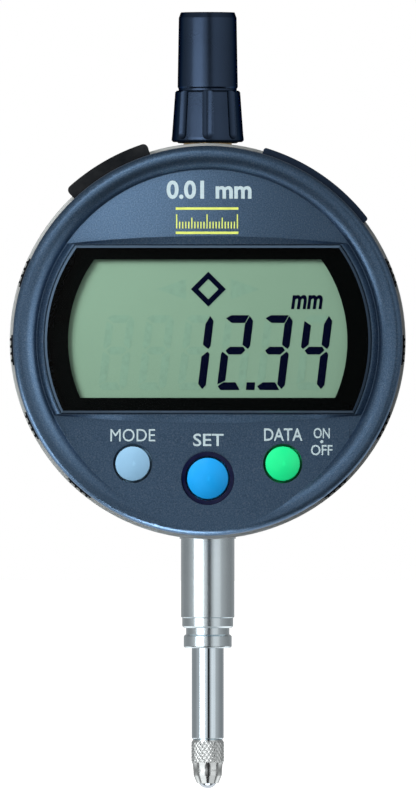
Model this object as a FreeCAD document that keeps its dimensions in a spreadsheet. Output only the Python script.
"""Digital plunger indicator with a turning display head, in millimetres.

Every sub-part is drawn from the dial's centre: +X to the right, +Y to the back, +Z up, with the
spindle on the Z axis and the display facing -Y. Each sub-part's Placement then lifts it by
dial_up, so that the model's origin is the middle of the stem's clamping length.
"""
import FreeCAD, Part
import math
import os
import Sketcher
from FreeCAD import Placement, Rotation, Vector

DIMENSIONS = {
    # The frame: the dial's centre stands this far above the middle of the stem's clamped length.
    "dial_up": 35.35,
    # How far a cut runs past the surface that it opens.
    "past": 1.0,
    # Depths of the fixed case, measured from the spindle's axis (+ is towards the back).
    "case_front": -6.3,
    "case_floor": -4.8,
    "case_back": 5.5,
    "lid_front": 5.7,
    "lid_back": 8.0,
    # Case radii.
    "case_r": 29.5,
    "case_wall": 1.8,
    "lid_step": 0.5,
    # Depths of the display head.
    "crest_y": -21.4,
    "window_y": -20.6,
    "boss_y": -20.35,
    "face_y": -19.8,
    "window_back": -19.2,
    "mask_back": -19.1,
    "face_back": -18.4,
    "lcd_front": -18.3,
    "lcd_back": -16.5,
    "board_front": -15.0,
    "board_back": -14.0,
    "cover_front": -8.0,
    "head_back": -6.6,
    # Bezel ring radii and roundings.
    "ring_r": 28.9,
    "crest_r": 28.05,
    "ring_inner_r": 25.4,
    "ring_slope_arc": 3.05,
    "shell_wall": 1.7,
    "trim_r": 38.0,
    # Button panel: it curves forward from the window, then levels out at the ring's crest.
    "panel_top": -11.0,
    "panel_share": 0.742,
    "panel_half": 21.0,
    # Window, its seat and the printed mask's opening.
    "window_r": 24.35,
    "window_high": 14.3,
    "window_low": -10.9,
    "window_gap": 0.18,
    "window_bevel": 0.35,
    "ledge": 1.4,
    "view_r": 20.7,
    "view_high": 12.07,
    "view_low": -8.45,
    "apron_high_arc": 189.0,
    "apron_low_arc": 212.0,
    # Display cell, its frame and the two contact strips.
    "lcd_half": 21.2,
    "lcd_high": 12.95,
    "lcd_low": -9.35,
    "glass_step": 2.2,
    "lcd_play": 0.05,
    "frame_edge": 1.15,
    "strip_half": 17.9,
    "strip_wide": 1.2,
    "strip_high": 11.0,
    "strip_low": -7.4,
    "slot_play": 0.1,
    # Buttons.
    "side_button_x": 11.12,
    "side_button_z": -18.22,
    "set_button_z": -20.4,
    "side_button_r": 2.55,
    "set_button_r": 3.05,
    "button_hole_r": 2.9,
    "set_hole_r": 3.95,
    "set_ring_in": 3.3,
    "set_ring_drop": 1.1,
    "button_top": -20.75,
    "button_dome": 7.5,
    "button_flange": 0.55,
    "button_flange_y": -18.3,
    "flange_thick": 0.8,
    "press_gap": 0.45,
    "plunger_r": 1.1,
    "dome_r": 2.2,
    "dome_high": 0.4,
    "dome_top_r": 1.32,
    # Screws, and the holes that they go into.
    "screw_r": 0.7,
    "head_r": 1.25,
    "head_thick": 0.7,
    "recess_wide": 0.35,
    "recess_half": 0.94,
    "screw_bite": 2.2,
    "hole_deep": 2.4,
    "blind_wall": 0.4,
    # Bosses of the display head and its board.
    "screw_ring_r": 24.6,
    "boss_r": 1.6,
    "board_r": 26.8,
    "board_screw_low": 70.0,
    # Hub that the display head turns on, with its ring and stop.
    "hub_r": 8.0,
    "hub_bore": 5.5,
    "hub_front": -9.7,
    "hub_groove_r": 7.5,
    "ring_front": -8.75,
    "ring_back": -8.15,
    "ring_out_r": 9.7,
    "hub_play": 0.06,
    "ring_play": 0.03,
    "spigot_deep": 1.2,
    "spigot_wall": 0.8,
    "stop_r": 13.0,
    "stop_pin_r": 0.8,
    "stop_pin_tip": -7.4,
    "stop_groove": 1.15,
    "stop_land_half": 10.7,
    "stop_land_turn": -15.0,
    "stop_low_turn": 60.0,
    "stop_clear": 4.0,
    "friction_in_r": 21.6,
    "friction_out_r": 23.6,
    "friction_front": -6.55,
    "friction_seat": 0.4,
    "friction_play": 0.02,
    # Grip pads round the head.
    "pad_r": 29.12,
    "rib_r": 29.32,
    "pad_half": 4.4,
    "rib_step": 2.06,
    "rib_half": 0.55,
    "pad_front": -20.1,
    "pad_back": -8.8,
    "pad_first": 20.4,
    "pad_pitch": 23.1,
    # Battery drawer, seen along its own radius.
    "battery_turn": 34.6,
    "cell_r": 5.8,
    "cell_at": 21.2,
    "cell_cap_r": 4.64,
    "cell_neck_r": 4.99,
    "cell_neck": 0.7,
    "cell_front": -13.7,
    "cell_back": -8.3,
    "tray_half": 7.1,
    "tray_in": 14.4,
    "tray_out": 27.9,
    "tray_front": -13.8,
    "tray_back": -8.2,
    "battery_lid_r": 29.95,
    "battery_lid_half": 18.3,
    "cover_high": -14.4,
    "cover_low": -8.35,
    "slide_play": 0.15,
    "cover_lip": 0.6,
    "battery_lid_corner": 0.4,
    "leaf_half": 1.6,
    "leaf_thick": 0.15,
    "leaf_end": 14.0,
    # Data port and its cover, seen along their own radius.
    "port_turn": -30.15,
    "port_half": 5.3,
    "port_in": 20.5,
    "port_out": 27.0,
    "port_front": -13.6,
    "port_back": -9.4,
    "port_mouth": 4.6,
    "port_wall": 0.8,
    "plug_play": 0.1,
    "pin_wide": 0.6,
    "pin_step": 1.9,
    "port_cover_r": 30.8,
    "port_cover_half": 13.0,
    "port_plug_half": 4.5,
    "port_cover_corner": 0.75,
    # Stem, bushes, collar and seal, on the spindle's axis.
    "stem_r": 4.0,
    "stem_bore": 3.0,
    "stem_low": -42.8,
    "stem_step": -41.325,
    "stem_root": -29.5,
    "stem_root_r": 4.2,
    "stem_tip_r": 3.82,
    "stem_flange_r": 4.7,
    "stem_flange_low": -25.5,
    "stem_flange_high": -23.5,
    "block_half": 6.6,
    "block_low": -28.6,
    "bush_low": -41.0,
    "bush_high": -26.0,
    "guide_r": 2.43,
    "neck_r": 3.25,
    "neck_low": -43.8,
    "collar_r": 3.6,
    "collar_low": -45.8,
    "collar_bore": 2.75,
    "collar_round": 0.3,
    "seal_r": 2.9,
    "seal_play": 0.03,
    "seal_lip": 0.2,
    "seal_root": -44.9,
    "seal_low": -45.4,
    "seal_high": -44.0,
    # Spindle and contact point.
    "spindle_r": 2.4,
    "spindle_low": -59.5,
    "spindle_high": 33.5,
    "point_r": 2.45,
    "knurl_low": -63.0,
    "point_neck": 0.6,
    "nose_high": -64.0,
    "nose_high_r": 2.16,
    "nose_bend": -64.9,
    "nose_bend_r": 2.1,
    "nose_tip_r": 1.62,
    "point_low": -66.05,
    "ball_r": 1.5,
    "ball_low": -66.8,
    "stud_r": 1.2,
    "stud_high": -55.5,
    "tap_high": -55.0,
    "edge": 0.25,
    # Upper bush and screw cap.
    "top_block": 28.6,
    "top_bush_low": 24.9,
    "top_flange_r": 4.6,
    "nipple_r": 3.6,
    "nipple_high": 34.0,
    "cap_low": 29.75,
    "cap_foot_r": 5.4,
    "cap_foot_high": 30.4,
    "skirt_high": 37.4,
    "skirt_r": 4.92,
    "waist_r": 4.35,
    "waist_high": 37.95,
    "crown_r": 4.32,
    "crown_low_r": 4.5,
    "cap_high": 49.1,
    "crown_chamfer": 0.8,
    "crown_top_r": 4.02,
    "flute_count": 8,
    "flute_r": 1.15,
    "flute_out": 0.74,
    "cap_bore": 3.2,
    "cap_bore_high": 47.7,
    "cap_play": 0.05,
    "seal_wire": 0.45,
    "seal_ring_r": 4.3,
    "seal_ring_z": 29.79,
    "seal_seat_r": 4.65,
    "seal_seat_high": 30.05,
    # Measuring carriage inside the case.
    "carrier_half": 5.0,
    "carrier_front": -2.9,
    "carrier_back": 4.9,
    "carrier_low": -6.0,
    "carrier_high": 2.0,
    "slit": 0.5,
    "clamp_y": 3.7,
    "clamp_r": 0.8,
    "clamp_head_r": 1.15,
    "screw_slot_half": 0.15,
    "scale_front": -3.5,
    "scale_half": 1.8,
    "scale_low": -18.0,
    "scale_high": 2.0,
    "reader_front": -4.7,
    "reader_back": -3.95,
    "reader_half": 5.6,
    "reader_low": -14.5,
    "reader_high": 8.8,
    "chip_back": -3.62,
    "chip_half": 2.2,
    "chip_thick": 1.3,
    "sensor_half": 1.76,
    "reader_screw_x": 4.3,
    "reader_screw_z": 7.2,
    "reader_screw_low": 13.0,
    "rail_in": 6.9,
    "rail_out": 10.6,
    "rail_front": -4.8,
    "rail_back": 2.4,
    "rail_low": -10.0,
    "rail_high": 16.0,
    "rail_slot": 1.03,
    "rail_slot_low": -5.0,
    "rail_slot_high": 12.4,
    "rail_slot_deep": 2.6,
    "rail_screw_low": -7.8,
    "rail_screw_high": 14.3,
    "rail_screw_x": 8.7,
    "guide_pin_r": 1.0,
    "guide_pin_out": 9.2,
    "guide_pin_z": -2.0,
    "pin_bite": 2.0,
    "collar_stop_low": -22.6,
    "collar_stop_high": -19.8,
    "collar_stop_r": 3.75,
    "buffer_low": -23.45,
    "buffer_r": 3.45,
    "grub_end": 3.65,
    "grub_slot": 3.15,
    "spring_r": 3.4,
    "spring_wire": 0.25,
    "spring_low": 2.3,
    "spring_high": 24.6,
    "spring_turns": 11,
    # Back lid with its lug, and its screws.
    "lug_root": 7.8,
    "lug_half": 2.5,
    "lug_r": 7.6,
    "lug_hole_r": 3.25,
    "lug_y": 16.5,
    "lid_screw_r": 25.3,
    "lid_screw_turn": 45.0,
    "case_boss_r": 2.1,
    "lid_bite": 3.6,
    "lid_hole_deep": 4.0,
    "gasket_r": 29.3,
    "block_front": -5.0,
    # Ribbon cable and its socket.
    "ribbon_half": 2.0,
    "ribbon_thick": 0.3,
    "socket_half": 3.2,
    "socket_high": 1.6,
    "socket_back": -12.2,
    "socket_floor": -13.6,
    "ribbon_end": -13.5,
}

DOC = FreeCAD.newDocument("indicator")
SHEET = DOC.addObject("Spreadsheet::Sheet", "dims")
PLANES = {"front": "XZ_Plane", "side": "YZ_Plane", "top": "XY_Plane"}
NODES = []


def fill_sheet():
    """One row for each driving dimension, with its name as the cell's alias."""
    for row, (name, size) in enumerate(DIMENSIONS.items(), start=1):
        SHEET.set(f"A{row}", name)
        SHEET.set(f"B{row}", str(size))
        SHEET.setAlias(f"B{row}", name)
    DOC.recompute()


def full(text):
    """An expression over the sheet, from one that uses the bare names of its cells."""
    words = []
    word = ""
    for sign in text + " ":
        if sign.isalnum() or sign in "_.":
            word += sign
            continue
        words.append("dims." + word if word in DIMENSIONS else word)
        words.append(sign)
        word = ""
    return "".join(words).strip()


def value(text):
    """The number that an expression gives."""
    return float(SHEET.evalExpression(full(text)))


def bind(thing, field, text):
    """Binds one of an object's properties to an expression over the sheet."""
    thing.setExpression(field, full(text))


# ---------------------------------------------------------------- shapes drawn on sketches


def pin_down(sketch, geometry, end, x, y):
    """Places one end of a sketch's geometry with two bound distances from the sketch's origin."""
    for kind, text in (("DistanceX", x), ("DistanceY", y)):
        index = sketch.addConstraint(Sketcher.Constraint(kind, geometry, end, value(text)))
        bind(sketch, f"Constraints[{index}]", text)


def circle(x, y, radius):
    """A full circle."""
    def draw(sketch):
        centre = Vector(value(x), value(y), 0)
        index = sketch.addGeometry(Part.Circle(centre, Vector(0, 0, 1), value(radius)), False)
        pin_down(sketch, index, 3, x, y)
        size = sketch.addConstraint(Sketcher.Constraint("Radius", index, value(radius)))
        bind(sketch, f"Constraints[{size}]", radius)
    return draw


def arc_between(first, last, bend):
    """The short arc from first to last: it turns left when bend is positive."""
    chord = last - first
    left = Vector(-chord.y, chord.x, 0).normalize()
    reach = math.sqrt(bend * bend - chord.Length ** 2 / 4)
    centre = (first + last) / 2 + left * math.copysign(reach, bend)
    round_edge = Part.Circle(centre, Vector(0, 0, 1), abs(bend))
    ends = (first, last) if bend > 0 else (last, first)
    angles = [math.atan2(end.y - centre.y, end.x - centre.x) for end in ends]
    return Part.ArcOfCircle(round_edge, angles[0], angles[1])


def path(*corners):
    """A closed outline. A corner is (x, y), or (x, y, bend) where an arc leads to the next one."""
    def draw(sketch):
        places = [Vector(value(corner[0]), value(corner[1]), 0) for corner in corners]
        ends = []
        for number, corner in enumerate(corners):
            first = places[number]
            last = places[(number + 1) % len(places)]
            turns_right = len(corner) == 3 and value(corner[2]) < 0
            if len(corner) == 3:
                edge = arc_between(first, last, value(corner[2]))
            else:
                edge = Part.LineSegment(first, last)
            index = sketch.addGeometry(edge, False)
            ends.append((index, 2, 1) if turns_right else (index, 1, 2))
        for number, corner in enumerate(corners):
            index, start, finish = ends[number]
            next_index, next_start, _ = ends[(number + 1) % len(corners)]
            joint = Sketcher.Constraint("Coincident", index, finish, next_index, next_start)
            sketch.addConstraint(joint)
            pin_down(sketch, index, start, corner[0], corner[1])
            if len(corner) == 3:
                radius = abs(value(corner[2]))
                size = sketch.addConstraint(Sketcher.Constraint("Radius", index, radius))
                bind(sketch, f"Constraints[{size}]", f"abs({corner[2]})")
    return draw


def box(left, low, right, high):
    """A rectangle from its lower left and upper right corners."""
    return path((left, low), (right, low), (right, high), (left, high))


def lens(radius, low, high):
    """A disc cut off by two level lines, as the window is."""
    low_x = f"sqrt(({radius})^2 - ({low})^2)"
    high_x = f"sqrt(({radius})^2 - ({high})^2)"
    return path(
        (f"-{low_x}", low),
        (low_x, low, radius),
        (high_x, high),
        (f"-{high_x}", high, radius),
    )


def sector(inner, outer, half):
    """A piece of a ring, centred on the sketch's upward axis and half degrees wide each way."""
    return path(
        (f"({inner}) * sin({half})", f"({inner}) * cos({half})"),
        (f"({outer}) * sin({half})", f"({outer}) * cos({half})", outer),
        (f"-({outer}) * sin({half})", f"({outer}) * cos({half})"),
        (f"-({inner}) * sin({half})", f"({inner}) * cos({half})", f"-({inner})"),
    )


def soft_sector(inner, outer, half, corner):
    """A sector whose two outer corners are rounded."""
    side = f"sqrt(({outer} - {corner})^2 - ({corner})^2)"
    shoulder = f"({half} - 180 / pi * {corner} / ({outer} - {corner}))"
    return path(
        (f"({inner}) * sin({half})", f"({inner}) * cos({half})"),
        (f"{side} * sin({half})", f"{side} * cos({half})", corner),
        (f"{outer} * sin{shoulder}", f"{outer} * cos{shoulder}", outer),
        (f"-{outer} * sin{shoulder}", f"{outer} * cos{shoulder}", corner),
        (f"-{side} * sin({half})", f"{side} * cos({half})"),
        (f"-({inner}) * sin({half})", f"({inner}) * cos({half})", f"-({inner})"),
    )


# ---------------------------------------------------------------- features of a body


def new_body(name):
    """An empty body with its origin planes ready."""
    body = DOC.addObject("PartDesign::Body", name)
    DOC.recompute()
    return body


def origin_part(body, role):
    """One of the body's own planes or axes."""
    return [part for part in body.Origin.OriginFeatures if part.Role == role][0]


def sketch_on(body, plane, level, shapes):
    """A sketch on one of the body's planes, moved to a level along the plane's axis."""
    sketch = body.newObject("Sketcher::SketchObject", "sketch")
    sketch.AttachmentSupport = [(origin_part(body, PLANES[plane]), "")]
    sketch.MapMode = "FlatFace"
    bind(sketch, "AttachmentOffset.Base.z", f"-({level})" if plane == "front" else level)
    for draw in shapes:
        draw(sketch)
    return sketch


def pad(body, plane, low, high, *shapes):
    """Adds material between two levels: Y for front sketches, X for side ones, Z for top ones."""
    start = high if plane == "front" else low
    feature = body.newObject("PartDesign::Pad", "pad")
    feature.Profile = sketch_on(body, plane, start, shapes)
    bind(feature, "Length", f"({high}) - ({low})")
    return feature


def pocket(body, plane, low, high, *shapes):
    """Removes material between two levels."""
    start = low if plane == "front" else high
    feature = body.newObject("PartDesign::Pocket", "pocket")
    feature.Profile = sketch_on(body, plane, start, shapes)
    bind(feature, "Length", f"({high}) - ({low})")
    return feature


def turn(body, axis, *corners, cut=False):
    """Turns an outline: (y, radius) corners about the Y axis, or (radius, z) about the Z axis."""
    plane = "side" if axis == "y" else "front"
    kind = "PartDesign::Groove" if cut else "PartDesign::Revolution"
    sketch = sketch_on(body, plane, "0", [path(*corners)])
    feature = body.newObject(kind, "turned")
    feature.Profile = sketch
    feature.ReferenceAxis = (sketch, ["H_Axis" if axis == "y" else "V_Axis"])
    feature.Angle = 360
    return feature


def loft(body, first, second):
    """Adds material between two front sketches, each a (level, outline) pair."""
    feature = body.newObject("PartDesign::AdditiveLoft", "loft")
    feature.Profile = sketch_on(body, "front", first[0], [first[1]])
    feature.Sections = [sketch_on(body, "front", second[0], [second[1]])]
    feature.Ruled = True
    return feature


def place(thing, name, x="0", y="0", z="0", axis=(0, 1, 0), angle="0"):
    """Labels a finished sub-part and gives it its place above the origin."""
    thing.Label = name
    thing.Placement = Placement(Vector(), Rotation(Vector(*axis), 1))
    bind(thing, "Placement.Base.x", x)
    bind(thing, "Placement.Base.y", y)
    bind(thing, "Placement.Base.z", f"dial_up + ({z})")
    bind(thing, "Placement.Rotation.Angle", angle)
    NODES.append(thing)
    return thing


def cut_away(base, tools, name):
    """Takes tools from a base and labels what is left as a sub-part."""
    left = DOC.addObject("Part::Cut", name)
    left.Base = base
    if len(tools) == 1:
        left.Tool = tools[0]
    else:
        joined = DOC.addObject("Part::MultiFuse", "tools")
        joined.Shapes = tools
        left.Tool = joined
    return place(left, name)


def radial_block(inner, outer, half, front, back, angle):
    """A block that lies along a radius of the dial, turned clockwise from straight up."""
    block = DOC.addObject("Part::Box", "block")
    bind(block, "Length", f"2 * ({half})")
    bind(block, "Width", f"({back}) - ({front})")
    bind(block, "Height", f"({outer}) - ({inner})")
    tilt = Rotation(Vector(0, 1, 0), value(angle))
    block.Placement = Placement(Vector(), tilt)
    bind(block, "Placement.Rotation.Angle", angle)
    bind(block, "Placement.Base.x", f"({inner}) * sin({angle}) - ({half}) * cos({angle})")
    bind(block, "Placement.Base.y", front)
    bind(block, "Placement.Base.z", f"({inner}) * cos({angle}) + ({half}) * sin({angle})")
    return block


def screws(name, seats):
    """Flat-headed screws with a cross recess, as one node.

    A seat is (x, z, head_front, head_back, tip): the head's two levels and the shank's far end.
    """
    body = new_body(name)
    for x, z, head_low, head_high, tip in seats:
        pad(body, "front", head_low, head_high, circle(x, z, "head_r"))
        pad(body, "front", tip, head_high, circle(x, z, "screw_r"))
        for wide, tall in (("recess_half", "recess_wide / 2"), ("recess_wide / 2", "recess_half")):
            slot = box(f"({x}) - {wide}", f"({z}) - {tall}", f"({x}) + {wide}", f"({z}) + {tall}")
            pocket(body, "front", f"({head_high}) - recess_wide", head_high, slot)
    return place(body, name)


def turned_copies(shape, name, angles, axis):
    """Copies of a shape, each turned by an angle about an axis through the dial's centre."""
    copies = []
    for angle in angles:
        copy = DOC.addObject("Part::Feature", name)
        copy.Shape = shape
        copy.Placement = Placement(Vector(), Rotation(Vector(*axis), angle))
        copies.append(copy)
    return copies


# ---------------------------------------------------------------- display head: shell and window


def front_bezel():
    """Moulded shell: face, raised ring, window seat, curved button panel and screw bosses."""
    body = new_body("bezel_shell")
    rim = "ring_r - crest_r"
    turn(
        body, "y",
        ("crest_y", "0"),
        ("crest_y", "crest_r", f"-({rim})"),
        (f"crest_y + {rim}", "ring_r"),
        ("cover_front", "ring_r"),
        ("cover_front", "ring_r - shell_wall"),
        ("face_back", "ring_r - shell_wall"),
        ("face_back", "0"),
    )
    turn(
        body, "y",
        ("crest_y - past", "0"),
        ("crest_y - past", "crest_r - window_gap"),
        ("crest_y", "crest_r - window_gap", "ring_slope_arc"),
        ("face_y", "ring_inner_r"),
        ("face_y", "0"),
        cut=True,
    )
    rise, run = "(face_y - crest_y)", "(panel_top + crest_r)"
    both_arcs = f"({run}^2 + {rise}^2) / (2 * {rise})"
    pad(
        body, "side", "-panel_half", "panel_half",
        path(
            ("face_back", "panel_top"),
            ("face_y", "panel_top", f"-panel_share * {both_arcs}"),
            (f"face_y - panel_share * {rise}", f"panel_top - panel_share * {run}",
             f"(1 - panel_share) * {both_arcs}"),
            ("crest_y", "-crest_r"),
            ("crest_y", "-ring_r"),
            ("face_back", "-ring_r"),
        ),
    )
    turn(
        body, "y",
        ("crest_y - past", "crest_r"),
        ("crest_y", "crest_r", f"-({rim})"),
        (f"crest_y + {rim}", "ring_r"),
        ("cover_front + past", "ring_r"),
        ("cover_front + past", "trim_r"),
        ("crest_y - past", "trim_r"),
        cut=True,
    )
    foot_r = "(ring_inner_r - window_gap / 2)"
    foot_high = "(window_high + window_gap / 2)"
    foot_low = "(window_low - window_gap / 2)"
    foot_high_x = f"sqrt({foot_r}^2 - {foot_high}^2)"
    foot_low_x = f"sqrt({foot_r}^2 - {foot_low}^2)"
    foot = path(
        (f"-{foot_low_x}", foot_low, "apron_low_arc"),
        (foot_low_x, foot_low, foot_r),
        (foot_high_x, foot_high, "apron_high_arc"),
        (f"-{foot_high_x}", foot_high, foot_r),
    )
    loft(body, ("face_y", foot), ("boss_y", lens("window_r + window_gap", "window_low", "window_high")))
    pocket(body, "front", "boss_y - past", "mask_back", lens("window_r", "window_low", "window_high"))
    opening = lens("window_r - ledge", "window_low + ledge", "window_high - ledge")
    pocket(body, "front", "mask_back", "face_back + past", opening)
    for side in ("", "-"):
        hole = circle(f"{side}side_button_x", "side_button_z", "button_hole_r")
        pocket(body, "front", "crest_y", "face_back + past", hole)
    pocket(body, "front", "crest_y - past", "face_back + past", circle("0", "set_button_z", "set_hole_r"))
    for angle, back in boss_angles():
        x, z = f"screw_ring_r * sin({angle})", f"screw_ring_r * cos({angle})"
        pad(body, "front", "face_back", back, circle(x, z, "boss_r"))
        pocket(body, "front", f"{back} - hole_deep", back, circle(x, z, "screw_r"))
    openings = [
        radial_block("port_in", "ring_r + 2 * past", "port_half + slide_play", "cover_high - slide_play",
                     "cover_front + past", "port_turn"),
        radial_block("tray_in", "ring_r + 2 * past", "tray_half + slide_play", "cover_high - slide_play",
                     "cover_front + past", "battery_turn"),
    ]
    return cut_away(body, openings, "front_bezel")


def boss_angles():
    """Clockwise angle from the top, and back level, of each screw boss behind the face."""
    board = ["90", "270", "90 + board_screw_low", "270 - board_screw_low"]
    cover = ["0", "120", "240"]
    return [(angle, "board_front") for angle in board] + [(angle, "cover_front") for angle in cover]


def window():
    """Clear hard-coated window with a bevelled front edge."""
    body = new_body("window")
    size = ("window_r - window_gap", "window_low + window_gap", "window_high - window_gap")
    inner = tuple(f"{part} {sign} window_bevel" for part, sign in zip(size, "-+-"))
    pad(body, "front", "window_y + window_bevel", "window_back", lens(*size))
    loft(body, ("window_y + window_bevel", lens(*size)), ("window_y", lens(*inner)))
    return place(body, "window")


def window_mask():
    """Printed black border on the back of the window."""
    body = new_body("window_mask")
    gap = "window_gap * 2"
    outline = lens(f"window_r - {gap}", f"window_low + {gap}", f"window_high - {gap}")
    pad(body, "front", "window_back", "mask_back", outline)
    pocket(body, "front", "window_back - past", "mask_back + past", lens("view_r", "view_low", "view_high"))
    return place(body, "window_mask")


def lcd_panel():
    """Display cell: a lower glass and a shorter upper glass, with a contact ledge on each side."""
    body = new_body("lcd_panel")
    middle = "(lcd_front + lcd_back) / 2"
    pad(body, "front", middle, "lcd_back",
        box("-lcd_half", "lcd_low + glass_step", "lcd_half", "lcd_high - glass_step"))
    pad(body, "front", "lcd_front", middle, box("-lcd_half", "lcd_low", "lcd_half", "lcd_high"))
    return place(body, "lcd_panel")


def lcd_frame():
    """Frame that holds the display cell over the board, with a slot for each contact strip."""
    body = new_body("lcd_frame")
    wide = "lcd_half + frame_edge"
    pad(body, "front", "lcd_front", "board_front - lcd_play",
        box(f"-({wide})", "lcd_low - frame_edge", wide, "lcd_high + frame_edge"))
    pocket(body, "front", "lcd_front - past", "lcd_back + lcd_play",
           box("-lcd_half - lcd_play", "lcd_low - lcd_play", "lcd_half + lcd_play",
               "lcd_high + lcd_play"))
    pocket(body, "front", "lcd_front", "board_front + past",
           box("-lcd_half + frame_edge", "strip_low + frame_edge + slot_play",
               "lcd_half - frame_edge", "strip_high - frame_edge - slot_play"))
    for low in ("strip_high", "strip_low - strip_wide"):
        slot = box("-strip_half - slot_play", f"{low} - slot_play", "strip_half + slot_play",
                   f"{low} + strip_wide + slot_play")
        pocket(body, "front", "lcd_front", "board_front + past", slot)
    return place(body, "lcd_frame")


def zebra_strips():
    """Two elastomer strips that carry the signals from the board to the display cell."""
    body = new_body("zebra_strips")
    middle = "(lcd_front + lcd_back) / 2"
    for low in ("strip_high", "strip_low - strip_wide"):
        pad(body, "front", middle, "board_front",
            box("-strip_half", low, "strip_half", f"{low} + strip_wide"))
    return place(body, "zebra_strips")


# ---------------------------------------------------------------- display head: board and cover


def display_board():
    """Round circuit board with holes for the shell's tall bosses."""
    body = new_body("display_board")
    pad(body, "front", "board_front", "board_back", circle("0", "0", "board_r"))
    for angle, back in boss_angles():
        x, z = f"screw_ring_r * sin({angle})", f"screw_ring_r * cos({angle})"
        radius = "screw_r + slot_play" if back == "board_front" else "boss_r + slot_play"
        pocket(body, "front", "board_front - past", "board_back + past", circle(x, z, radius))
    return place(body, "display_board")


def board_chips():
    """The controller and three smaller parts soldered behind the board."""
    body = new_body("board_chips")
    for left, low, wide, tall, thick in (
        ("-chip_half * 7", "-chip_half * 6", "chip_half * 3", "chip_half * 3", "chip_thick"),
        ("chip_half * 4", "-chip_half * 5", "chip_half * 2", "chip_half", "chip_thick * 3 / 4"),
        ("chip_half * 5", "-chip_half", "chip_half", "chip_half * 2", "chip_thick * 2 / 3"),
        ("-chip_half * 6", "-chip_half", "chip_half", "chip_half", "chip_thick / 2"),
    ):
        outline = box(left, low, f"{left} + {wide}", f"{low} + {tall}")
        pad(body, "front", "board_back", f"board_back + {thick}", outline)
    return place(body, "board_chips")


def cable_socket():
    """Ribbon cable's socket, in the middle of the back of the board."""
    body = new_body("cable_socket")
    pad(body, "front", "board_back", "socket_back",
        box("-socket_half", "-socket_high", "socket_half", "socket_high"))
    pocket(body, "front", "socket_floor", "socket_back + past",
           box("-ribbon_half - slot_play", "-ribbon_thick", "ribbon_half + slot_play", "ribbon_thick"))
    return place(body, "cable_socket")


def dome_switches():
    """A metal dome under each button."""
    body = new_body("dome_switches")
    for x, z in button_places():
        pad(body, "front", "board_front - dome_high / 2", "board_front", circle(x, z, "dome_r"))
        pad(body, "front", "board_front - dome_high", "board_front - dome_high / 2",
            circle(x, z, "dome_top_r"))
    return place(body, "dome_switches")


def button_places():
    """Centres of the left, right and middle buttons."""
    return (
        ("-side_button_x", "side_button_z"),
        ("side_button_x", "side_button_z"),
        ("0", "set_button_z"),
    )


def board_screws():
    """Four screws that hold the board to the shell's short bosses."""
    seats = []
    for angle, back in boss_angles():
        if back == "board_front":
            x, z = f"screw_ring_r * sin({angle})", f"screw_ring_r * cos({angle})"
            seats.append((x, z, "board_back", "board_back + head_thick", "board_front - screw_bite"))
    return screws("board_screws", seats)


def set_button_ring():
    """Coloured trim ring pressed into the shell round the middle button."""
    body = new_body("set_button_ring")
    pad(body, "front", "crest_y + set_ring_drop", "face_back", circle("0", "set_button_z", "set_hole_r"))
    pocket(body, "front", "crest_y", "face_back + past", circle("0", "set_button_z", "set_ring_in"))
    return place(body, "set_button_ring")


def button(name, x, z, radius):
    """Domed push button: cap through the panel, retaining flange behind it and a plunger."""
    body = new_body(name)
    edge_y = f"(button_top + button_dome - sqrt(button_dome^2 - ({radius})^2))"
    turn(
        body, "y",
        ("button_top", "0", "-button_dome"),
        (edge_y, radius),
        ("button_flange_y", radius),
        ("button_flange_y", f"{radius} + button_flange"),
        ("button_flange_y + flange_thick", f"{radius} + button_flange"),
        ("button_flange_y + flange_thick", "plunger_r"),
        ("board_front - dome_high - press_gap", "plunger_r"),
        ("board_front - dome_high - press_gap", "0"),
    )
    return place(body, name, x=x, z=z)


def display_rear_cover():
    """Back of the display head: hub bore, spigot, stop groove with its land, and screw holes."""
    body = new_body("cover_disc")
    spigot_r = "ring_r - shell_wall - slot_play"
    turn(
        body, "y",
        ("cover_front - spigot_deep", f"{spigot_r} - spigot_wall"),
        ("cover_front - spigot_deep", spigot_r),
        ("cover_front", spigot_r),
        ("cover_front", "ring_r"),
        ("head_back", "ring_r"),
        ("head_back", "hub_r + hub_play"),
        ("cover_front", "hub_r + hub_play"),
        ("cover_front", f"{spigot_r} - spigot_wall"),
    )
    groove_in = "stop_r - stop_groove"
    groove_out = "stop_r + stop_groove"
    turn(
        body, "y",
        ("stop_pin_tip - slot_play", groove_in),
        ("stop_pin_tip - slot_play", groove_out),
        ("head_back + past", groove_out),
        ("head_back + past", groove_in),
        cut=True,
    )
    for angle, back in boss_angles():
        if back == "cover_front":
            x, z = f"screw_ring_r * sin({angle})", f"screw_ring_r * cos({angle})"
            pocket(body, "front", "cover_front - 2 * past", "head_back + past",
                   circle(x, z, "screw_r + slot_play"))
            pocket(body, "front", "head_back - head_thick - slot_play", "head_back + past",
                   circle(x, z, "head_r + slot_play"))
    land = new_body("stop_land")
    pad(land, "front", "stop_pin_tip - slot_play", "head_back",
        sector(groove_in, groove_out, "stop_land_half"))
    land.Placement = Placement(Vector(), Rotation(Vector(0, 1, 0), value("stop_land_turn")))
    bind(land, "Placement.Rotation.Angle", "stop_land_turn")
    joined = DOC.addObject("Part::Fuse", "cover_with_land")
    joined.Base = body
    joined.Tool = land
    notches = []
    for half, angle in (("port_half", "port_turn"), ("tray_half", "battery_turn")):
        notches.append(radial_block("ring_r - 3 * shell_wall", "ring_r - shell_wall",
                                    f"{half} + slide_play", "cover_front - 2 * past", "cover_front", angle))
    return cut_away(joined, notches, "display_rear_cover")


def rear_cover_screws():
    """Three screws that close the display head from behind."""
    seats = []
    for angle, back in boss_angles():
        if back == "cover_front":
            x, z = f"screw_ring_r * sin({angle})", f"screw_ring_r * cos({angle})"
            seats.append((x, z, "head_back - head_thick", "head_back - slot_play",
                          "cover_front - screw_bite"))
    return screws("rear_cover_screws", seats)


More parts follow.
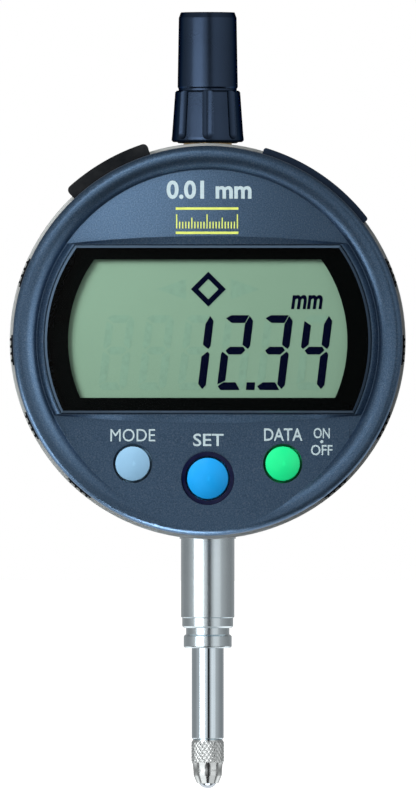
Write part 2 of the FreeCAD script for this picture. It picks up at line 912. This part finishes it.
def grip_pads():
    """Eight ribbed grip pads round the ring, four on each side."""
    body = new_body("one_pad")
    pad(body, "front", "pad_front", "pad_back", sector("ring_r", "pad_r", "pad_half"))
    for step in (-1.5, -0.5, 0.5, 1.5):
        angle = f"{step} * rib_step"
        low, high = f"({angle} - rib_half)", f"({angle} + rib_half)"
        rib = path(
            (f"pad_r * sin({low})", f"pad_r * cos({low}) - slot_play"),
            (f"pad_r * sin({high})", f"pad_r * cos({high}) - slot_play"),
            (f"rib_r * sin({angle} + rib_half / 2)", f"rib_r * cos({angle} + rib_half / 2)"),
            (f"rib_r * sin({angle} - rib_half / 2)", f"rib_r * cos({angle} - rib_half / 2)"),
        )
        pad(body, "front", "pad_front", "pad_back", rib)
    DOC.recompute()
    right = [value(f"90 - pad_first + pad_pitch * {number}") for number in range(4)]
    left = [-angle for angle in right]
    group = DOC.addObject("Part::Compound", "grip_pads")
    group.Links = turned_copies(body.Shape, "pad_copy", right + left, (0, 1, 0))
    return place(group, "grip_pads")


# ---------------------------------------------------------------- display head: battery and port


def radial(body, name, angle):
    """Turns a sub-part that was drawn straight up to its own radius of the dial."""
    return place(body, name, angle=angle)


def battery_tray():
    """Open sliding tray for the cell, with a grip wall at its inner end."""
    body = new_body("battery_tray")
    pad(body, "front", "tray_front", "tray_back", box("-tray_half", "tray_in", "tray_half", "tray_out"))
    pocket(body, "front", "tray_front - past", "tray_back + past", circle("0", "cell_at", "cell_r + slot_play"))
    return radial(body, "battery_tray", "battery_turn")


def battery_cell():
    """Button cell: a stepped can with its smaller cap towards the board."""
    body = new_body("battery_cell")
    turn(
        body, "y",
        ("cell_front", "0"),
        ("cell_front", "cell_cap_r"),
        ("cell_front + cell_neck", "cell_neck_r"),
        ("cell_front + cell_neck", "cell_r"),
        ("cell_back", "cell_r"),
        ("cell_back", "0"),
    )
    return place(body, "battery_cell", x="cell_at * sin(battery_turn)", z="cell_at * cos(battery_turn)")


def battery_cover():
    """Outer lid of the battery drawer: a low curved cap that closes the ring's opening."""
    body = new_body("battery_cover")
    pad(body, "front", "cover_high", "cover_low",
        soft_sector("ring_r + slot_play / 2", "battery_lid_r", "battery_lid_half", "battery_lid_corner"))
    pad(body, "front", "cover_high + cover_lip", "cover_low",
        box("-tray_half", "tray_out", "tray_half", "ring_r + slot_play"))
    return radial(body, "battery_cover", "battery_turn")


def battery_contacts():
    """Two sprung contact strips soldered to the board, one under the cell and one beside it."""
    body = new_body("battery_contacts")
    leaf_foot = "leaf_end - leaf_half"
    pad(body, "front", "board_back", "board_back + leaf_thick",
        circle("0", "cell_at - cell_r / 2", "leaf_half"))
    pad(body, "front", "board_back", "(cell_front + cell_back) / 2",
        box("-leaf_half", "leaf_end - leaf_thick", "leaf_half", "leaf_end"))
    pad(body, "front", "board_back", "board_back + leaf_thick",
        box("-leaf_half", leaf_foot, "leaf_half", "leaf_end"))
    return radial(body, "battery_contacts", "battery_turn")


def port_socket():
    """Data socket: a moulded box that opens outwards."""
    body = new_body("port_socket")
    pad(body, "front", "port_front", "port_back", box("-port_half", "port_in", "port_half", "port_out"))
    pocket(body, "front", "port_front + port_wall", "port_back - port_wall",
           box("-port_half + port_wall", "port_out - port_mouth", "port_half - port_wall",
               "port_out + past"))
    return radial(body, "port_socket", "port_turn")


def port_pins():
    """Row of contact pins in the data socket."""
    body = new_body("port_pins")
    for step in (-2, -1, 0, 1, 2):
        middle = f"{step} * pin_step"
        pad(body, "front", "(port_front + port_back - pin_wide) / 2",
            "(port_front + port_back + pin_wide) / 2",
            box(f"{middle} - pin_wide / 2", "port_out - port_mouth", f"{middle} + pin_wide / 2",
                "port_out - port_wall"))
    return radial(body, "port_pins", "port_turn")


def port_cover():
    """Plug-in cap over the data socket: a curved flange and a plug behind it."""
    body = new_body("port_cover")
    pad(body, "front", "cover_high", "cover_low",
        soft_sector("ring_r + slot_play / 2", "port_cover_r", "port_cover_half", "port_cover_corner"))
    pad(body, "front", "port_front + port_wall + plug_play", "port_back - port_wall - plug_play",
        box("-port_plug_half", "port_out + slot_play", "port_plug_half", "ring_r + slot_play"))
    return radial(body, "port_cover", "port_turn")


# ---------------------------------------------------------------- case


def rear_case():
    """Round case with its turning hub, and a thick block at the stem and at the spindle's top."""
    body = new_body("case_shell")
    turn(
        body, "y",
        ("hub_front", "hub_bore"),
        ("hub_front", "hub_r"),
        ("case_front", "hub_r"),
        ("case_front", "case_r"),
        ("case_back", "case_r"),
        ("case_back", "case_r - case_wall"),
        ("case_floor", "case_r - case_wall"),
        ("case_floor", "hub_bore"),
    )
    turn(
        body, "y",
        ("ring_front - ring_play", "hub_groove_r"),
        ("ring_front - ring_play", "hub_r + past"),
        ("ring_back + ring_play", "hub_r + past"),
        ("ring_back + ring_play", "hub_groove_r"),
        cut=True,
    )
    seat = "case_front + friction_seat"
    turn(
        body, "y",
        ("case_front - past", "friction_in_r"),
        ("case_front - past", "friction_out_r"),
        (seat, "friction_out_r"),
        (seat, "friction_in_r"),
        cut=True,
    )
    for low, high in (("block_low", "stem_flange_low"), ("-stem_flange_low", "top_block")):
        pad(body, "top", low, high, box("-block_half", "block_front", "block_half", "case_back"))
    for turn_step in range(4):
        angle = f"lid_screw_turn + {90 * turn_step}"
        x, z = f"lid_screw_r * sin({angle})", f"lid_screw_r * cos({angle})"
        pad(body, "front", "block_front", "case_back", circle(x, z, "case_boss_r"))
        pocket(body, "front", "case_back - lid_hole_deep", "case_back + past", circle(x, z, "screw_r"))
    pocket(body, "top", "-case_r - past", "stem_flange_low + past", circle("0", "0", "stem_root_r"))
    pocket(body, "top", "-stem_flange_low - past", "case_r + past", circle("0", "0", "nipple_r"))
    stop_x, stop_z = stop_pin_place()
    pocket(body, "front", "case_front - past", "case_floor + past", circle(stop_x, stop_z, "stop_pin_r"))
    for x, z in reader_screw_places():
        pocket(body, "front", "case_front + blind_wall", "case_floor + past", circle(x, z, "screw_r"))
    for z in ("rail_screw_low", "rail_screw_high"):
        pocket(body, "front", "case_front + blind_wall", "case_floor + past", circle("rail_screw_x", z, "screw_r"))
    return place(body, "rear_case")


def stop_pin_place():
    """Where the fixed stop pin stands: the land meets it when the head is turned to its low limit."""
    angle = "(stop_land_turn + stop_low_turn + stop_land_half + stop_clear)"
    return f"stop_r * sin({angle})", f"stop_r * cos({angle})"


def reader_screw_places():
    """Centres of the two screws that hold the reader board."""
    return (("reader_screw_x", "reader_screw_z"), ("-reader_screw_x", "-reader_screw_low"))


def back_plate():
    """Back lid with its central mounting lug and four screw holes."""
    body = new_body("back_plate")
    turn(
        body, "y",
        ("lid_front", "0"),
        ("lid_front", "case_r"),
        ("lid_back - lid_step", "case_r"),
        ("lid_back", "case_r - lid_step"),
        ("lid_back", "0"),
    )
    pad(
        body, "side", "-lug_half", "lug_half",
        path(
            ("lug_root", "-lug_r"),
            ("lug_y", "-lug_r", "lug_r"),
            ("lug_y + lug_r", "0", "lug_r"),
            ("lug_y", "lug_r"),
            ("lug_root", "lug_r"),
        ),
    )
    pocket(body, "side", "-lug_half - past", "lug_half + past", circle("lug_y", "0", "lug_hole_r"))
    for turn_step in range(4):
        angle = f"lid_screw_turn + {90 * turn_step}"
        x, z = f"lid_screw_r * sin({angle})", f"lid_screw_r * cos({angle})"
        pocket(body, "front", "lid_front - past", "lid_back + past", circle(x, z, "screw_r + slot_play"))
        pocket(body, "front", "lid_back - head_thick - slot_play", "lid_back + past",
               circle(x, z, "head_r + slot_play"))
    return place(body, "back_plate")


def back_gasket():
    """Flat gasket between the case and its lid."""
    body = new_body("back_gasket")
    turn(
        body, "y",
        ("case_back", "case_r - case_wall"),
        ("case_back", "gasket_r"),
        ("lid_front", "gasket_r"),
        ("lid_front", "case_r - case_wall"),
    )
    return place(body, "back_gasket")


def back_screws():
    """Four screws that hold the back lid."""
    seats = []
    for turn_step in range(4):
        angle = f"lid_screw_turn + {90 * turn_step}"
        x, z = f"lid_screw_r * sin({angle})", f"lid_screw_r * cos({angle})"
        seats.append((x, z, "lid_back - head_thick", "lid_back - slot_play", "case_back - lid_bite"))
    return screws("back_screws", seats)


def friction_ring():
    """Felt ring that gives the head its drag against the case."""
    body = new_body("friction_ring")
    turn(
        body, "y",
        ("friction_front", "friction_in_r + friction_play"),
        ("friction_front", "friction_out_r - friction_play"),
        ("case_front + friction_seat", "friction_out_r - friction_play"),
        ("case_front + friction_seat", "friction_in_r + friction_play"),
    )
    return place(body, "friction_ring")


def hub_retaining_ring():
    """Open retaining ring that keeps the head on the case's hub."""
    body = new_body("hub_retaining_ring")
    turn(
        body, "y",
        ("ring_front", "hub_groove_r + ring_play"),
        ("ring_front", "ring_out_r"),
        ("ring_back", "ring_out_r"),
        ("ring_back", "hub_groove_r + ring_play"),
    )
    pocket(body, "front", "ring_front - past", "ring_back + past",
           box("-ring_out_r / 4", "-ring_out_r - past", "ring_out_r / 4", "0"))
    return place(body, "hub_retaining_ring")


def stop_pin():
    """Pin in the case that meets the head's land at each end of its turn."""
    body = new_body("stop_pin")
    x, z = stop_pin_place()
    pad(body, "front", "stop_pin_tip", "case_floor", circle("0", "0", "stop_pin_r"))
    return place(body, "stop_pin", x=x, z=z)


# ---------------------------------------------------------------- stem and cap


def stem():
    """Clamping stem: a flange inside the case and a slightly thinner tip."""
    body = new_body("stem")
    turn(
        body, "z",
        ("stem_bore", "stem_low"),
        ("stem_tip_r - edge", "stem_low"),
        ("stem_tip_r", "stem_low + edge"),
        ("stem_tip_r", "stem_step"),
        ("stem_r", "stem_step + edge / 2"),
        ("stem_r", "stem_root"),
        ("stem_root_r", "stem_root"),
        ("stem_root_r", "stem_flange_low"),
        ("stem_flange_r", "stem_flange_low"),
        ("stem_flange_r", "stem_flange_high"),
        ("stem_bore", "stem_flange_high"),
    )
    return place(body, "stem")


def stem_bush():
    """Guide bush pressed into the stem."""
    body = new_body("stem_bush")
    turn(
        body, "z",
        ("guide_r", "bush_low"),
        ("stem_bore", "bush_low"),
        ("stem_bore", "bush_high"),
        ("guide_r", "bush_high"),
    )
    return place(body, "stem_bush")


def stem_end_collar():
    """Collar in the stem's end that holds the wiper seal."""
    body = new_body("stem_end_collar")
    turn(
        body, "z",
        ("collar_bore", "collar_low"),
        ("collar_r - collar_round", "collar_low", "collar_round"),
        ("collar_r", "collar_low + collar_round"),
        ("collar_r", "neck_low - edge"),
        ("collar_r - edge", "neck_low"),
        ("neck_r", "neck_low"),
        ("neck_r", "stem_low"),
        ("stem_bore", "stem_low"),
        ("stem_bore", "bush_low"),
        ("collar_bore", "bush_low"),
        ("collar_bore", "seal_high"),
        ("seal_r", "seal_high"),
        ("seal_r", "seal_low"),
        ("collar_bore", "seal_low"),
    )
    return place(body, "stem_end_collar")


def wiper_seal():
    """Rubber seal that wipes the spindle clean."""
    body = new_body("wiper_seal")
    turn(
        body, "z",
        ("spindle_r + seal_play", "seal_low"),
        ("seal_r", "seal_low"),
        ("seal_r", "seal_high"),
        ("seal_r - seal_lip", "seal_high"),
        ("spindle_r + seal_play", "seal_root"),
    )
    return place(body, "wiper_seal")


def upper_bush():
    """Upper guide bush: a flange inside the case and the nipple that the cap screws on."""
    body = new_body("upper_bush")
    turn(
        body, "z",
        ("guide_r", "top_bush_low"),
        ("top_flange_r", "top_bush_low"),
        ("top_flange_r", "-stem_flange_low"),
        ("nipple_r", "-stem_flange_low"),
        ("nipple_r", "nipple_high"),
        ("guide_r", "nipple_high"),
    )
    return place(body, "upper_bush")


def spindle_cap():
    """Screw cap over the spindle's upper end: smooth crown, fluted skirt and round foot."""
    body = new_body("cap_blank")
    screw_bore = "(nipple_r + cap_play)"
    turn(
        body, "z",
        ("seal_seat_r", "cap_low"),
        ("cap_foot_r - edge", "cap_low"),
        ("cap_foot_r", "cap_low + edge"),
        ("cap_foot_r", "cap_foot_high"),
        ("skirt_r", "skirt_high - edge"),
        ("skirt_r - edge", "skirt_high"),
        ("waist_r", "skirt_high"),
        ("waist_r", "waist_high - edge"),
        ("crown_low_r", "waist_high"),
        ("crown_r", "cap_high - crown_chamfer"),
        ("crown_top_r", "cap_high"),
        ("0", "cap_high"),
        ("0", "cap_bore_high"),
        ("cap_bore", "cap_bore_high"),
        ("cap_bore", "nipple_high + edge"),
        (screw_bore, "nipple_high + edge"),
        (screw_bore, "seal_seat_high"),
        ("seal_seat_r", "seal_seat_high"),
    )
    cutter = flute_cutter()
    DOC.recompute()
    angles = [number * 360 / value("flute_count") for number in range(int(value("flute_count")))]
    flutes = turned_copies(cutter.Shape, "flute", angles, (0, 0, 1))
    return cut_away(body, flutes, "spindle_cap")


def flute_cutter():
    """Round-ended bar beside the cap's skirt, which leans in with the skirt's taper."""
    lean = "atan((cap_foot_r - skirt_r) / (skirt_high - cap_foot_high))"
    bar = DOC.addObject("Part::Cylinder", "flute_bar")
    bind(bar, "Radius", "flute_r")
    bind(bar, "Height", "waist_high - edge - cap_foot_high - flute_r / 2")
    bar.Placement = Placement(Vector(), Rotation(Vector(0, -1, 0), 1))
    bind(bar, "Placement.Rotation.Angle", lean)
    end = DOC.addObject("Part::Sphere", "flute_end")
    bind(end, "Radius", "flute_r")
    for piece in (bar, end):
        bind(piece, "Placement.Base.x", "cap_foot_r + flute_out")
        bind(piece, "Placement.Base.z", "cap_foot_high + flute_r / 2")
    joined = DOC.addObject("Part::Fuse", "flute_cutter")
    joined.Base = bar
    joined.Tool = end
    return joined


def cap_seal():
    """Sealing ring under the cap's foot."""
    ring = DOC.addObject("Part::Torus", "cap_seal")
    bind(ring, "Radius1", "seal_ring_r")
    bind(ring, "Radius2", "seal_wire / 2")
    return place(ring, "cap_seal", z="seal_ring_z", axis=(0, 0, 1))


# ---------------------------------------------------------------- spindle and its carriage


def spindle():
    """Ground spindle with a tapped bore for the contact point."""
    body = new_body("spindle")
    turn(
        body, "z",
        ("0", "tap_high"),
        ("stud_r", "tap_high"),
        ("stud_r", "spindle_low"),
        ("spindle_r - edge", "spindle_low"),
        ("spindle_r", "spindle_low + edge"),
        ("spindle_r", "spindle_high - edge"),
        ("spindle_r - edge", "spindle_high"),
        ("0", "spindle_high"),
    )
    return place(body, "spindle")


def contact_point():
    """Contact point: threaded stud, knurled grip and a tapered nose with a socket for its ball."""
    body = new_body("contact_point")
    turn(
        body, "z",
        ("0", "ball_low + ball_r"),
        ("ball_r", "ball_low + ball_r", "-ball_r"),
        ("sqrt(ball_r^2 - (ball_low + ball_r - point_low)^2)", "point_low"),
        ("nose_tip_r", "point_low"),
        ("nose_bend_r", "nose_bend"),
        ("nose_high_r", "nose_high"),
        ("point_r - edge", "knurl_low - edge"),
        ("point_r", "knurl_low"),
        ("point_r", "spindle_low - point_neck - edge"),
        ("point_r - edge", "spindle_low - point_neck"),
        ("point_r - edge", "spindle_low"),
        ("stud_r", "spindle_low"),
        ("stud_r", "stud_high"),
        ("0", "stud_high"),
    )
    return place(body, "contact_point")


def contact_ball():
    """Hard ball held in the contact point's nose."""
    body = new_body("contact_ball")
    turn(
        body, "z",
        ("0", "ball_low", "ball_r"),
        ("ball_r", "ball_low + ball_r"),
        ("0", "ball_low + ball_r"),
    )
    return place(body, "contact_ball")


def scale_carrier():
    """Split carrier clamped on the spindle, which holds the measuring scale and the guide pin."""
    body = new_body("scale_carrier")
    pad(body, "front", "carrier_front", "carrier_back",
        box("-carrier_half", "carrier_low", "carrier_half", "carrier_high"))
    pocket(body, "top", "carrier_low - past", "carrier_high + past", circle("0", "0", "spindle_r"))
    pocket(body, "top", "carrier_low - past", "carrier_high + past",
           box("-slit / 2", "0", "slit / 2", "carrier_back + past"))
    pocket(body, "side", "-carrier_half - past", "carrier_half + past",
           circle("clamp_y", "guide_pin_z", "clamp_r"))
    pocket(body, "side", "carrier_half - pin_bite", "carrier_half + past",
           circle("0", "guide_pin_z", "guide_pin_r"))
    return place(body, "scale_carrier")


def encoder_scale():
    """Glass measuring scale on the carrier's front."""
    body = new_body("encoder_scale")
    pad(body, "front", "scale_front", "carrier_front",
        box("-scale_half", "scale_low", "scale_half", "scale_high"))
    return place(body, "encoder_scale")


def carrier_screw():
    """Screw that clamps the carrier on the spindle."""
    body = new_body("carrier_screw")
    head = "carrier_half + head_thick"
    pad(body, "side", "-carrier_half", head, circle("clamp_y", "guide_pin_z", "clamp_r"))
    pad(body, "side", "carrier_half", head, circle("clamp_y", "guide_pin_z", "clamp_head_r"))
    pocket(body, "side", f"{head} - recess_wide", f"{head} + past",
           box("clamp_y - head_r", "guide_pin_z - screw_slot_half", "clamp_y + head_r",
               "guide_pin_z + screw_slot_half"))
    return place(body, "carrier_screw")


def guide_pin():
    """Pin that runs in the rail's slot and stops the spindle turning."""
    body = new_body("guide_pin")
    pad(body, "side", "carrier_half - pin_bite", "guide_pin_out", circle("0", "guide_pin_z", "guide_pin_r"))
    return place(body, "guide_pin")


def stop_collar():
    """Collar on the spindle that sets its lowest position."""
    body = new_body("stop_collar")
    turn(
        body, "z",
        ("spindle_r", "collar_stop_low"),
        ("collar_stop_r", "collar_stop_low"),
        ("collar_stop_r", "collar_stop_high"),
        ("spindle_r", "collar_stop_high"),
    )
    pocket(body, "side", "0", "collar_stop_r + past",
           circle("0", "(collar_stop_low + collar_stop_high) / 2", "screw_r"))
    return place(body, "stop_collar")


def collar_grub_screw():
    """Grub screw that locks the stop collar."""
    body = new_body("collar_grub_screw")
    middle = "(collar_stop_low + collar_stop_high) / 2"
    pad(body, "side", "spindle_r", "grub_end", circle("0", middle, "screw_r"))
    pocket(body, "side", "grub_slot", "grub_end + past",
           box("-screw_slot_half", f"{middle} - screw_r", "screw_slot_half", f"{middle} + screw_r"))
    return place(body, "collar_grub_screw")


def buffer_ring():
    """Rubber ring that cushions the spindle's return against the stem."""
    body = new_body("buffer_ring")
    turn(
        body, "z",
        ("spindle_r", "buffer_low"),
        ("buffer_r", "buffer_low"),
        ("buffer_r", "collar_stop_low"),
        ("spindle_r", "collar_stop_low"),
    )
    return place(body, "buffer_ring")


def reader_board():
    """Circuit board that reads the scale, on the case's front wall."""
    body = new_body("reader_board")
    pad(body, "front", "reader_front", "reader_back",
        box("-reader_half", "reader_low", "reader_half", "reader_high"))
    for x, z in reader_screw_places():
        pocket(body, "front", "reader_front - past", "reader_back + past", circle(x, z, "screw_r + slot_play"))
    return place(body, "reader_board")


def reader_chip():
    """Sensor chip that faces the scale."""
    body = new_body("reader_chip")
    pad(body, "front", "reader_back", "chip_back",
        box("-sensor_half", "-chip_half", "sensor_half", "chip_half"))
    return place(body, "reader_chip")


def reader_screws():
    """Two screws that hold the reader board."""
    seats = [(x, z, "reader_back", "reader_back + head_thick", "case_front + blind_wall + slot_play")
             for x, z in reader_screw_places()]
    return screws("reader_screws", seats)


def guide_rail():
    """Rail with the slot that the guide pin runs in."""
    body = new_body("guide_rail")
    pad(body, "front", "rail_front", "rail_back", box("rail_in", "rail_low", "rail_out", "rail_high"))
    pocket(body, "side", "rail_in - past", "rail_in + rail_slot_deep",
           box("-rail_slot", "rail_slot_low", "rail_slot", "rail_slot_high"))
    for z in ("rail_screw_low", "rail_screw_high"):
        pocket(body, "front", "rail_front - past", "rail_back + past",
               circle("rail_screw_x", z, "screw_r + slot_play"))
    return place(body, "guide_rail")


def rail_screws():
    """Two screws that hold the guide rail."""
    seats = [("rail_screw_x", z, "rail_back", "rail_back + head_thick", "case_front + blind_wall + slot_play")
             for z in ("rail_screw_low", "rail_screw_high")]
    return screws("rail_screws", seats)


def return_spring():
    """Coil spring round the spindle that gives the measuring force."""
    coil = DOC.addObject("Part::Helix", "spring_path")
    bind(coil, "Radius", "spring_r")
    bind(coil, "Height", "spring_high - spring_low - 2 * spring_wire")
    bind(coil, "Pitch", "(spring_high - spring_low - 2 * spring_wire) / spring_turns")
    wire = DOC.addObject("Part::Circle", "spring_wire")
    bind(wire, "Radius", "spring_wire")
    wire.Placement = Placement(Vector(), Rotation(Vector(1, 0, 0), 90))
    bind(wire, "Placement.Base.x", "spring_r")
    DOC.recompute()
    spring = DOC.addObject("Part::Sweep", "return_spring")
    spring.Sections = [wire]
    spring.Spine = (coil, ["Edge1"])
    spring.Solid = True
    spring.Frenet = True
    return place(spring, "return_spring", z="spring_low + spring_wire", axis=(0, 0, 1))


def ribbon_cable():
    """Flat cable from the reader board, through the hub, to the socket on the display board."""
    body = new_body("ribbon_cable")
    thin = "ribbon_thick / 2"
    pad(body, "side", "-ribbon_half", "ribbon_half",
        path(
            ("ribbon_end", f"-{thin}"),
            ("hub_front", f"-{thin}"),
            ("case_front", f"-3 * {thin}"),
            ("reader_front", f"-3 * {thin}"),
            ("reader_front", f"-{thin}"),
            ("case_front", f"-{thin}"),
            ("hub_front", thin),
            ("ribbon_end", thin),
        ))
    return place(body, "ribbon_cable")


# ---------------------------------------------------------------- building and writing


def build():
    """Draws every sub-part."""
    for make in (
        front_bezel, window, window_mask, lcd_panel, lcd_frame, zebra_strips, display_board,
        board_chips, cable_socket, dome_switches, board_screws, set_button_ring,
        display_rear_cover, rear_cover_screws, grip_pads, battery_tray, battery_cell,
        battery_cover, battery_contacts, port_socket, port_pins, port_cover, rear_case,
        back_plate, back_gasket, back_screws, friction_ring, hub_retaining_ring, stop_pin, stem,
        stem_bush, stem_end_collar, wiper_seal, upper_bush, spindle_cap, cap_seal, spindle,
        contact_point, contact_ball, scale_carrier, encoder_scale, carrier_screw, guide_pin,
        stop_collar, collar_grub_screw, buffer_ring, reader_board, reader_chip, reader_screws,
        guide_rail, rail_screws, return_spring, ribbon_cable,
    ):
        make()
    button("mode_button", "-side_button_x", "side_button_z", "side_button_r")
    button("data_button", "side_button_x", "side_button_z", "side_button_r")
    button("set_button", "0", "set_button_z", "set_button_r")


def check():
    """Stops if any object failed or any sub-part's shape is empty or not valid."""
    faults = []
    for thing in DOC.Objects:
        if {"Invalid", "Error"} & set(thing.State):
            faults.append(f"{thing.Name} ({thing.Label}) has state {thing.State}")
    for node in NODES:
        shape = node.Shape
        if shape.isNull() or not shape.isValid() or not shape.Solids:
            faults.append(f"{node.Label} has no valid solid")
    if faults:
        raise RuntimeError("; ".join(faults))


def write():
    """One STEP file for each sub-part, named after its label."""
    os.makedirs("parts", exist_ok=True)
    for node in NODES:
        node.Shape.exportStep(f"parts/{node.Label}.step")


fill_sheet()
build()
DOC.recompute()
check()
write()
